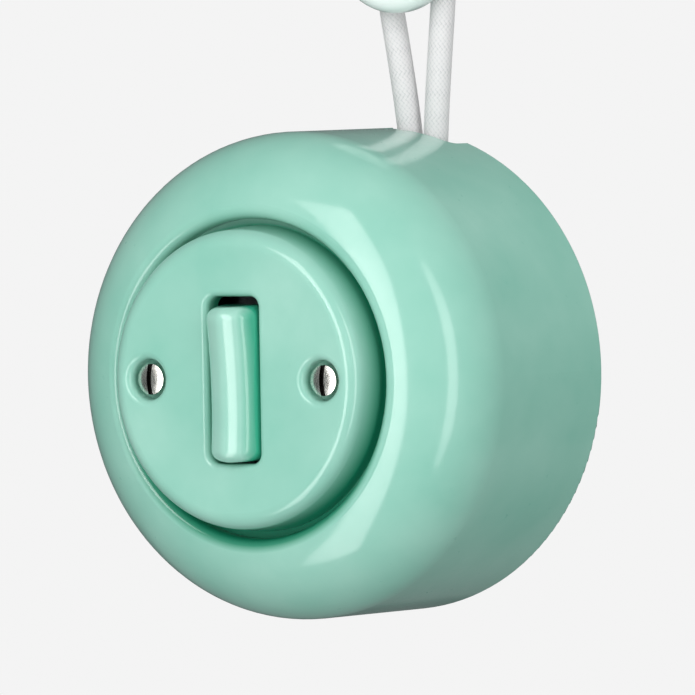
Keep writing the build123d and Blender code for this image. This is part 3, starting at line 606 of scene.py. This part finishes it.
def rocker_pool_and_shade(material, spot):
    """The rocker's sides and foot, darker where they go down into the slot: pooled glaze and
    painted shade.
    """
    off_centre = combine(material, "ABSOLUTE", spot.x, 0.0)
    side = to_range(material, off_centre, *KEY_SIDE, 0.0, FULL_POOL_AND_SHADE)
    foot = to_range(material, spot.depth, *KEY_BASE, 0.0, 1.0)
    return combine(material, "MAXIMUM", side, foot)


# The deep tone in these places is pooled glaze and painted shade.
print("pools run along the groove, the slot, the wells and the rocker's foot")

# %% Mint tones
MINT = srgb(146, 201, 184)
MINT_POOLED = srgb(135, 195, 177)
MINT_THIN = srgb(158, 208, 192)
# The two deep tones are pooled glaze and painted shade: one for the groove, slot and wells, one for
# the rocker's flanks.
MINT_POOL_AND_SHADE = srgb(32, 138, 106)
MINT_FLANK_POOL_AND_SHADE = srgb(52, 166, 134)
HOUSING_TONES = (MINT, MINT_POOLED, MINT_THIN, MINT_POOL_AND_SHADE)
ROCKER_TONES = (MINT_THIN, MINT, MINT_THIN, MINT_FLANK_POOL_AND_SHADE)
dress(mint_glaze("housing_glaze", *HOUSING_TONES, groove_pool_and_shade), "porcelain_housing")
dress(mint_glaze("disc_glaze", *HOUSING_TONES, disc_pool_and_shade), "front_disc")
rocker_glaze = mint_glaze("rocker_glaze", *ROCKER_TONES, rocker_pool_and_shade)
print("glaze on the housing and the disc")

# %% [markdown]
# ## The rocker key
#
# The key is pressed porcelain with a thick glaze, so nothing on it is flat. Along
# its length the front is hollowed, with both ends standing proud. Across its
# width it is a soft gable: a broad gentle slope each side of the crest, then a
# steeper shoulder down to the slot. The two lamp reflections on it show those
# slopes. A fillet can't give that, so the front is a grid of points whose height
# is the hollow, less the gable's drop, less the rounding at the ends. Below it
# straight walls go down to the foot, and a pocket behind takes the carrier.

# %% Rocker sizes
PIVOT = Vector((0.0, -52.8, 0.0))
REST_TILT = math.radians(3.6)
KEY_SHIFT = Vector((0.0, 0.0, -0.3))
KEY_HALF_WIDTH = 6.0
KEY_HALF_LENGTH = 15.8
KEY_CORNER = 2.4
KEY_FOOT = 1.7
CREST_HEIGHT = 11.27
CREST_HOLLOW = 1.1
CREST_LOWEST_Z = 3.0
CREST_SPAN = 16.0
END_ROUND_LENGTH = 2.8
END_ROUND_DROP = 2.9
POCKET_HALF = (3.75, 9.5)
POCKET_TOP = 4.7
# Distance from the crest in mm, and the front's slope there in degrees.
GABLE_ANGLES = [
    (0.0, 0.0), (0.9, 17.0), (1.2, 19.0), (3.0, 26.5), (4.2, 47.0),
    (4.6, 54.0), (5.4, 60.0), (5.8, 70.0), (6.0, 86.0),
]


def gable_slope(reach):
    """How steeply the front falls at a distance from the crest, as a tangent."""
    for (near, low), (far, high) in zip(GABLE_ANGLES, GABLE_ANGLES[1:]):
        if reach <= far:
            share = (reach - near) / (far - near)
            return math.tan(math.radians(low + (high - low) * share))
    return math.tan(math.radians(GABLE_ANGLES[-1][1]))


GABLE_STEP = 0.01
gable_drops = [0.0]
while len(gable_drops) <= KEY_HALF_WIDTH / GABLE_STEP + 1:
    middle = (len(gable_drops) - 0.5) * GABLE_STEP
    gable_drops.append(gable_drops[-1] + gable_slope(middle) * GABLE_STEP)
gable_fall = gable_drops[round(KEY_HALF_WIDTH / GABLE_STEP)]
print("the gable falls", round(gable_fall, 2), "mm from crest to side")

# %% Rocker profile
STRAIGHT_ROWS = 18
TURN_ROWS = 14


def quarter_sine(share):
    """The sine of a share of a right angle, for points that crowd towards an edge."""
    return math.sin(math.radians(90 * share))


def key_height(x, z):
    """Height of the key's front above its pivot."""
    crest = CREST_HEIGHT + CREST_HOLLOW * ((z - CREST_LOWEST_Z) / CREST_SPAN) ** 2
    along = max(0.0, abs(z) - (KEY_HALF_LENGTH - END_ROUND_LENGTH)) / END_ROUND_LENGTH
    end_drop = END_ROUND_DROP * (1 - math.sqrt(max(0.0, 1 - along ** 2)))
    return crest - gable_drops[round(abs(x) / GABLE_STEP)] - end_drop


def key_half_width(z):
    """Half the key's width at z, narrower in its rounded corners."""
    past = max(0.0, abs(z) - (KEY_HALF_LENGTH - KEY_CORNER))
    return KEY_HALF_WIDTH - KEY_CORNER + math.sqrt(max(0.0, KEY_CORNER ** 2 - past ** 2))


def key_rows():
    """Heights along the key, close together where its ends turn over."""
    straight = KEY_HALF_LENGTH - END_ROUND_LENGTH
    middle = [straight * i / STRAIGHT_ROWS for i in range(-STRAIGHT_ROWS, STRAIGHT_ROWS + 1)]
    turns = [quarter_sine(i / TURN_ROWS) for i in range(1, TURN_ROWS + 1)]
    upper = [straight + END_ROUND_LENGTH * turn for turn in turns]
    return [-z for z in reversed(upper)] + middle + upper


rows = key_rows()
print("crest at", CREST_HEIGHT, "mm above the pivot, hollowed by", CREST_HOLLOW, "mm")

# %% Rocker front
KEY_COLUMNS = 56
columns = [quarter_sine(2 * i / KEY_COLUMNS - 1) for i in range(KEY_COLUMNS + 1)]
key_points = []
for z in rows:
    reach = key_half_width(z)
    for column in columns:
        gable_x = column * KEY_HALF_WIDTH
        key_points.append((column * reach, -key_height(gable_x, z), z))
wide = len(columns)
key_faces = []
for r in range(len(rows) - 1):
    for c in range(wide - 1):
        first = r * wide + c
        key_faces.append((first, first + 1, first + wide + 1, first + wide))
print("rocker front:", len(rows), "rows of", wide, "points")

# %% Rocker walls and pocket
last = (len(rows) - 1) * wide
rim = list(range(wide - 1))
rim += [r * wide + wide - 1 for r in range(len(rows) - 1)]
rim += [last + c for c in range(wide - 1, 0, -1)]
rim += [r * wide for r in range(len(rows) - 1, 0, -1)]
rim_points = [key_points[i] for i in rim]
FOOT_ROUND = 0.4
FOOT_BEVEL = 0.1
half_x, half_z = POCKET_HALF


def ring_at(height, shrink):
    """The rim's outline at another height above the pivot, drawn in a little."""
    share_x = 1 - shrink / KEY_HALF_WIDTH
    share_z = 1 - shrink / KEY_HALF_LENGTH
    return [(x * share_x, -height, z * share_z) for x, _, z in rim_points]


def pocket_ring(height):
    """The pocket's outline, one point for each point of the rim."""
    ring = []
    for x, _, z in rim_points:
        ring.append((max(-half_x, min(half_x, x)), -height, max(-half_z, min(half_z, z))))
    return ring


print("rim and pocket:", len(rim), "points round")

# %% Rocker key
rings = [
    rim_points,
    ring_at(KEY_FOOT + FOOT_ROUND, 0.0),
    ring_at(KEY_FOOT + FOOT_BEVEL, FOOT_ROUND / 3),
    ring_at(KEY_FOOT, FOOT_ROUND),
    pocket_ring(KEY_FOOT),
    pocket_ring(POCKET_TOP),
    [(x * 0.5, y, z * 0.5) for x, y, z in pocket_ring(POCKET_TOP)],
]
count = len(rim)
starts = []
for ring in rings:
    starts.append(len(key_points))
    key_points += ring
for first, second in zip(starts, starts[1:]):
    strip_between(key_faces, first, second, count)
key_points.append((0.0, -POCKET_TOP, 0.0))
centre = len(key_points) - 1
key_faces += [(starts[-1] + i, starts[-1] + (i + 1) % count, centre) for i in range(count)]

tilt = Matrix.Rotation(REST_TILT, 3, "X")
placed = [PIVOT + tilt @ (Vector(point) + KEY_SHIFT) for point in key_points]
rocker_key = add_piece("rocker_key", placed, key_faces, 40)
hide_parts("rocker_button")
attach(rocker_key, "rocker")
dress(rocker_glaze, rocker_key)
print("rocker key:", len(rocker_key.data.polygons), "faces")

# %% [markdown]
# ## Pale glaze and bare porcelain
#
# The cord insulator has the same kind of glaze in a much paler tone, almost white
# with a breath of green, and slightly greener in its bore where the glaze gathers.
# The base plate behind is porcelain as it leaves the kiln: chalky, ivory white,
# with a fine sandy surface and faint iron specks. A little light passes through
# porcelain, which is why neither tone is a pure grey.

# %% Pale glaze
NECK_DEPTH = (5.8, 4.8)
NECK_POOL = 0.8


def insulator_pool(material, spot):
    """The insulator's neck and bore, behind and inside its flange."""
    return to_range(material, spot.depth, *NECK_DEPTH, 0.0, NECK_POOL)


PALE = srgb(238, 247, 244)
PALE_POOLED = srgb(232, 243, 239)
PALE_THIN = srgb(243, 250, 247)
PALE_DEEP = srgb(206, 229, 220)
pale_glaze = mint_glaze(
    "pale_glaze", PALE, PALE_POOLED, PALE_THIN, PALE_DEEP, insulator_pool
)
dress(pale_glaze, "insulator")
print("pale glaze on the insulator")

# %% Bare porcelain
IRON = srgb(150, 128, 104)
SAND_HEIGHT = 0.05


def bare_porcelain():
    """Unglazed porcelain: matt ivory with sand-fine grain and sparse iron specks."""
    material, shader = new_finish("bare_porcelain", BARE_BODY, 0.62)
    where = place_in_mm(material)
    clouds = grain(material, where, 0.08, 3.0)
    body = ramp(material, clouds, [(0.3, srgb(229, 223, 211)), (0.7, srgb(240, 236, 228))])
    specks = grain(material, where, 1.4, 0.0)
    iron = to_range(material, specks, 0.76, 0.80, 0.0, 0.7)
    wire(material, blend_colours(material, iron, body, IRON), shader.inputs["Base Color"])
    sand = grain(material, where, 5.0, 3.0)
    wire(material, to_range(material, sand, 0.3, 0.7, 0.55, 0.72), shader.inputs["Roughness"])
    emboss(material, shader, sand, SAND_HEIGHT)
    return material


dress(bare_porcelain(), "base_plate")
print("bare porcelain on the base plate")

# %% [markdown]
# ## Metals
#
# Five metals meet in the switch. The two visible screws are polished nickel: very
# bright, with fine polishing lines, and painted shade darkens their slots.
# The hidden steel is zinc plated, a little blue and cloudy. Contacts and terminals
# are brass, warm with a light tarnish, the contact tips are silver and the bared
# wire ends are copper.
# One recipe serves all: a metal colour that a slow cloud tarnishes, and a
# roughness and a bump that come from noise stretched into brush lines.

# %% Metal recipe
def metal(name, colour, tarnished, roughness, line_stretch, line_depth):
    """A brushed or polished metal with cloudy tarnish and fine lines."""
    material, shader = new_finish(name, colour, roughness[0], 1.0)
    where = place_in_mm(material)
    clouds = grain(material, where, 0.35, 4.0)
    surface = ramp(material, clouds, [(0.35, colour), (0.75, tarnished)])
    wire(material, surface, shader.inputs["Base Color"])
    lines = grain(material, where, 2.0, 2.0, line_stretch)
    wire(material, to_range(material, lines, 0.3, 0.7, *roughness), shader.inputs["Roughness"])
    emboss(material, shader, lines, line_depth)
    return material


zinc = metal(
    "zinc_plate", srgb(196, 201, 206), srgb(160, 166, 173), (0.28, 0.45), (3.0, 1.0, 3.0), 0.012
)
brass = metal(
    "brass", srgb(219, 184, 110), srgb(178, 136, 74), (0.22, 0.38), (1.0, 6.0, 1.0), 0.010
)
silver = metal(
    "contact_silver", srgb(236, 233, 226), srgb(196, 186, 168), (0.18, 0.34), (4.0, 4.0, 4.0), 0.006
)
copper = metal(
    "bare_copper", srgb(214, 138, 98), srgb(160, 92, 62), (0.25, 0.42), (9.0, 9.0, 0.8), 0.05
)
dress(zinc, "rocker_pin", "support_ring", "mechanism_screws", "cover_screws")
dress(zinc, "ring_screws", "pillar_screws", "bridge_pin")
dress(brass, "plunger", "common_terminal", "upper_terminal", "lower_terminal")
dress(brass, "contact_bridge", "terminal_screws", "pillars")
dress(silver, "fixed_tips", "bridge_tips")
dress(copper, "wire_ends")
print("zinc, brass, silver and copper in place")

# %% Polished nickel
SCREW_X = 21.5
SLOT_REACH = 0.54
SLOT_EDGE = 0.05
SLOT_SHADE_SHARE = 0.93
NICKEL = srgb(238, 236, 230)
DULL_NICKEL = srgb(214, 210, 202)
SLOT_SHADE = srgb(48, 46, 43)
nickel = metal("polished_nickel", NICKEL, DULL_NICKEL, (0.20, 0.30), (6.0, 1.0, 0.5), 0.006)
nickel_spot = measured(nickel, place_in_mm(nickel))
# Painted shade: a strip along each screw's slot is darkened in the colour.
off_axis = combine(nickel, "SUBTRACT", combine(nickel, "ABSOLUTE", nickel_spot.x, 0.0), SCREW_X)
from_slot = combine(nickel, "ABSOLUTE", off_axis, 0.0)
slot_shade = to_range(nickel, from_slot, SLOT_REACH + SLOT_EDGE, SLOT_REACH, 0.0, SLOT_SHADE_SHARE)
nickel_tone = nickel.node_tree.nodes["Principled BSDF"].inputs["Base Color"]
polished = nickel_tone.links[0].from_socket
wire(nickel, blend_colours(nickel, slot_shade, polished, SLOT_SHADE), nickel_tone)
dress(nickel, "disc_screws")
print("nickel on the two disc screws")

# %% [markdown]
# ## The plunger's spring
#
# A coil spring in the rocker's stem presses the plunger down on the see-saw. When
# the plunger goes in, the spring has to shorten, which a rigid part can't show.
# Here a copy of its coil, with its place baked into its points, stands in for it,
# and the rigid coil is hidden.

# %% Plunger spring
rigid_coil = nodes["plunger_spring"]
soft_coil = bpy.data.objects.new("soft_coil", rigid_coil.data.copy())
scene.collection.objects.link(soft_coil)
soft_coil.matrix_world = rigid_coil.matrix_world.copy()
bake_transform(soft_coil)
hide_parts("plunger_spring")
dress(zinc, soft_coil)

# %% [markdown]
# ## Moulded resin and board
#
# The mechanism sits in a body of dark moulded resin, the kind that is pressed hot
# from powder. Its skin is smooth and half glossy, with a faint swirl of the filler.
# The carrier in the rocker is the same stuff. A sheet of red-brown fibre board
# closes the mechanism at the back, and its pressed fibres run all one way.

# %% Resin and board
def moulded_resin():
    """Dark brown resin with swirled filler under a half-gloss skin."""
    material, shader = new_finish("moulded_resin", srgb(46, 33, 27), 0.38)
    where = place_in_mm(material)
    swirl = grain(material, where, 0.30, 5.0, (1.0, 1.0, 2.2))
    tones = [(0.30, srgb(38, 27, 23)), (0.55, srgb(50, 36, 29)), (0.80, srgb(70, 50, 38))]
    wire(material, ramp(material, swirl, tones), shader.inputs["Base Color"])
    skin = grain(material, where, 3.0, 3.0)
    wire(material, to_range(material, skin, 0.3, 0.7, 0.30, 0.46), shader.inputs["Roughness"])
    emboss(material, shader, skin, 0.012)
    return material


def fibre_board():
    """Pressed fibre board, red-brown, with fibres along one direction."""
    material, shader = new_finish("fibre_board", srgb(128, 74, 52), 0.7)
    where = place_in_mm(material)
    fibres = grain(material, where, 1.1, 5.0, (5.0, 2.0, 0.7))
    tones = [(0.30, srgb(106, 58, 40)), (0.55, srgb(132, 77, 54)), (0.78, srgb(156, 100, 74))]
    wire(material, ramp(material, fibres, tones), shader.inputs["Base Color"])
    wire(material, to_range(material, fibres, 0.3, 0.7, 0.60, 0.80), shader.inputs["Roughness"])
    emboss(material, shader, fibres, 0.03)
    return material


dress(moulded_resin(), "rocker_carrier", "mechanism_body")
dress(fibre_board(), "mechanism_cover")
print("resin and board in place")

# %% [markdown]
# ## Sleeves and conductors
#
# Where the braid ends, a short soft sleeve grips the two conductors. Their
# insulation is plain extruded plastic, brown and grey, with the faint lengthwise
# lines that the die leaves.

# %% Soft plastics
DUST_ROUGHNESS = 0.12
DIE_LINE_HEIGHT = 0.02


def soft_plastic(name, tone, darker, roughness):
    """Extruded plastic or rubber with faint die lines and a dusty bloom."""
    material, shader = new_finish(name, tone, roughness)
    where = place_in_mm(material)
    bloom = grain(material, where, 0.5, 4.0)
    wire(material, ramp(material, bloom, [(0.3, darker), (0.7, tone)]), shader.inputs["Base Color"])
    dusty = to_range(material, bloom, 0.3, 0.7, roughness, roughness + DUST_ROUGHNESS)
    wire(material, dusty, shader.inputs["Roughness"])
    lines = grain(material, where, 3.0, 1.0, (4.0, 4.0, 0.3))
    emboss(material, shader, lines, DIE_LINE_HEIGHT)
    return material


white = soft_plastic("white_sleeve", srgb(232, 231, 227), srgb(220, 218, 212), 0.45)
brown = soft_plastic("brown_insulation", srgb(116, 76, 52), srgb(98, 62, 42), 0.35)
grey = soft_plastic("grey_insulation", srgb(150, 153, 156), srgb(132, 135, 138), 0.35)
dress(white, "cord_sleeves")
dress(brown, "left_lead")
dress(grey, "right_lead")
print("sleeves and conductors in place")

# %% [markdown]
# ## The cord's line
#
# The cord leaves the notch at the top of the housing, loops over the insulator's
# neck and comes back, pulled snug. Its line is one smooth NURBS curve whose
# control points are the corners of the route, so it never shows a kink. The curve
# itself isn't shown: it is turned into a plain line of points, and the braid is
# drawn round those. The order of the spline is set after its points are added,
# because set before, it stays at straight runs.

# %% Cord line
CORD_DEPTH = 3.05
CORD_DIAMETER = 5.2 * MM
LINE_RESOLUTION = 32
# x and z of the route's corners, in mm.
CORD_ROUTE = [
    (5.75, 42.0), (5.75, 49.0), (-1.90, 91.60), (3.06, 97.34),
    (10.51, 97.61), (15.69, 92.20), (11.46, 49.0), (11.46, 42.0),
]
line_data = bpy.data.curves.new("cord_line", "CURVE")
line_data.dimensions = "3D"
line_data.resolution_u = LINE_RESOLUTION
spline = line_data.splines.new("NURBS")
spline.points.add(len(CORD_ROUTE) - 1)
for point, (x, z) in zip(spline.points, CORD_ROUTE):
    point.co = (x * MM, -CORD_DEPTH * MM, z * MM, 1.0)
spline.order_u = 3
spline.use_endpoint_u = True
line_object = bpy.data.objects.new("cord_line", line_data)
scene.collection.objects.link(line_object)
line_mesh = bpy.data.meshes.new_from_object(line_object)
cord_line = [v.co.copy() for v in line_mesh.vertices]
bpy.data.objects.remove(line_object)
bpy.data.meshes.remove(line_mesh)
steps = [(b - a).length for a, b in zip(cord_line, cord_line[1:])]
cord_length = sum(steps)
print("cord line:", len(cord_line), "points,", round(cord_length, 4), "m long")

# %% [markdown]
# ## The braid
#
# The cord's cover is a white braid: sixteen strands wind one way and sixteen the
# other, each going over one and under the next. Thirty-two separate tubes would
# cost many faces and leave gaps, so the braid is one closed skin whose height
# rises and falls as the strands would. Two slanted counters say where a point
# lies among the strands of each family, and a chequer of the two says which family
# is on top there. The height is kept on the mesh too, for the material to read.

# %% Braid heights
STRANDS = 16
BRAID_LAY = 19.0
BRAID_RISE = 0.13
STRAND_EDGE = 0.55


def hump(share):
    """The round back of a strand, 0 at its edges and 1 in its middle."""
    return math.sqrt(max(0.0, 1.0 - (2.0 * share - 1.0) ** 2))


def braid_height(turn, along):
    """Height of the braid, 0 to 1, at a share of a turn and a distance in mm."""
    right = STRANDS * (turn + along / BRAID_LAY)
    left = STRANDS * (turn - along / BRAID_LAY)
    over_right = (math.floor(right) + math.floor(left)) % 2 == 0
    across = hump(right % 1.0) if over_right else hump(left % 1.0)
    lengthwise = hump(left % 1.0) if over_right else hump(right % 1.0)
    return across * (STRAND_EDGE + (1 - STRAND_EDGE) * lengthwise)


print("braid:", STRANDS, "strands each way, one turn in", BRAID_LAY, "mm")

# %% Rings along the cord
BRAID_ROUND = 96
RING_STEP = 0.19
HEADING_SPAN = 3


def along_line(points, lengths, spacing):
    """Evenly spaced points along a line of points, with the direction at each."""
    total = sum(lengths)
    wanted = round(total / spacing)
    found = []
    travelled = 0.0
    leg = 0
    for i in range(wanted + 1):
        target = total * i / wanted
        while leg < len(lengths) - 1 and travelled + lengths[leg] < target:
            travelled += lengths[leg]
            leg += 1
        share = (target - travelled) / lengths[leg]
        found.append(points[leg].lerp(points[leg + 1], share))
    headings = []
    for i in range(len(found)):
        before = found[max(0, i - HEADING_SPAN)]
        after = found[min(len(found) - 1, i + HEADING_SPAN)]
        headings.append((after - before).normalized())
    return found, headings


stations, headings = along_line(cord_line, steps, RING_STEP * MM)
print("along the cord:", len(stations), "rings of", BRAID_ROUND, "points")

# %% Braid skin
FRONT = Vector((0.0, -1.0, 0.0))
LOW_RADIUS = CORD_DIAMETER / 2 / MM - BRAID_RISE
braid_points = []
braid_raise = []
for i, (station, heading) in enumerate(zip(stations, headings)):
    sideways = FRONT.cross(heading).normalized()
    along = cord_length / MM * i / (len(stations) - 1)
    for k in range(BRAID_ROUND):
        turn = k / BRAID_ROUND
        height = braid_height(turn, along)
        radius = LOW_RADIUS + BRAID_RISE * height
        angle = 2 * math.pi * turn
        out = FRONT * math.cos(angle) + sideways * math.sin(angle)
        braid_points.append(station / MM + out * radius)
        braid_raise.append(height)
braid_faces = []
for i in range(len(stations) - 1):
    strip_between(braid_faces, i * BRAID_ROUND, (i + 1) * BRAID_ROUND, BRAID_ROUND)
for ring, station in ((0, stations[0]), (len(stations) - 1, stations[-1])):
    braid_points.append(station / MM)
    braid_raise.append(0.0)
    hub = len(braid_points) - 1
    first = ring * BRAID_ROUND
    braid_faces += [(first + k, first + (k + 1) % BRAID_ROUND, hub) for k in range(BRAID_ROUND)]
print("braid skin:", len(braid_points), "points")

# %% Braided cord
braided_cord = add_piece("braided_cord", braid_points, braid_faces, 60)
raised = braided_cord.data.attributes.new("raised", "FLOAT", "POINT")
raised.data.foreach_set("value", braid_raise)
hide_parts("cord")
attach(braided_cord, "root")
print("braided cord:", len(braided_cord.data.polygons), "faces")

# %% [markdown]
# ## White braid
#
# The yarn is bright white with a soft silky sheen. Between the strands it is a
# touch greyer, because less light gets in. Each strand is a flat bundle of a few
# fine yarns, which a fine noise hints at.

# %% White braid
PLAIN_WHITE = srgb(236, 236, 237)
VALLEY = srgb(188, 188, 190)
STRAND = srgb(230, 226, 227)
YARN = srgb(222, 223, 225)
YARN_HEIGHT = 0.03


def white_braid():
    """White textile: greyer in the valleys between strands, with fine yarn."""
    material, shader = new_finish("white_braid", PLAIN_WHITE, 0.8)
    where = place_in_mm(material)
    height = add_node(material, "ShaderNodeAttribute", attribute_name="raised")
    yarn = grain(material, where, 4.0, 3.0)
    shade = ramp(material, height.outputs["Fac"], [(0.05, VALLEY), (0.75, STRAND)])
    yarn_share = to_range(material, yarn, 0.4, 0.7, 0.0, 0.25)
    wire(material, blend_colours(material, yarn_share, shade, YARN), shader.inputs["Base Color"])
    wire(material, to_range(material, yarn, 0.3, 0.7, 0.70, 0.90), shader.inputs["Roughness"])
    shader.inputs["Sheen Weight"].default_value = 0.25
    shader.inputs["Sheen Roughness"].default_value = 0.4
    shader.inputs["Specular IOR Level"].default_value = 0.3
    emboss(material, shader, yarn, YARN_HEIGHT)
    return material


dress(white_braid(), braided_cord)
print("white braid on the cord")
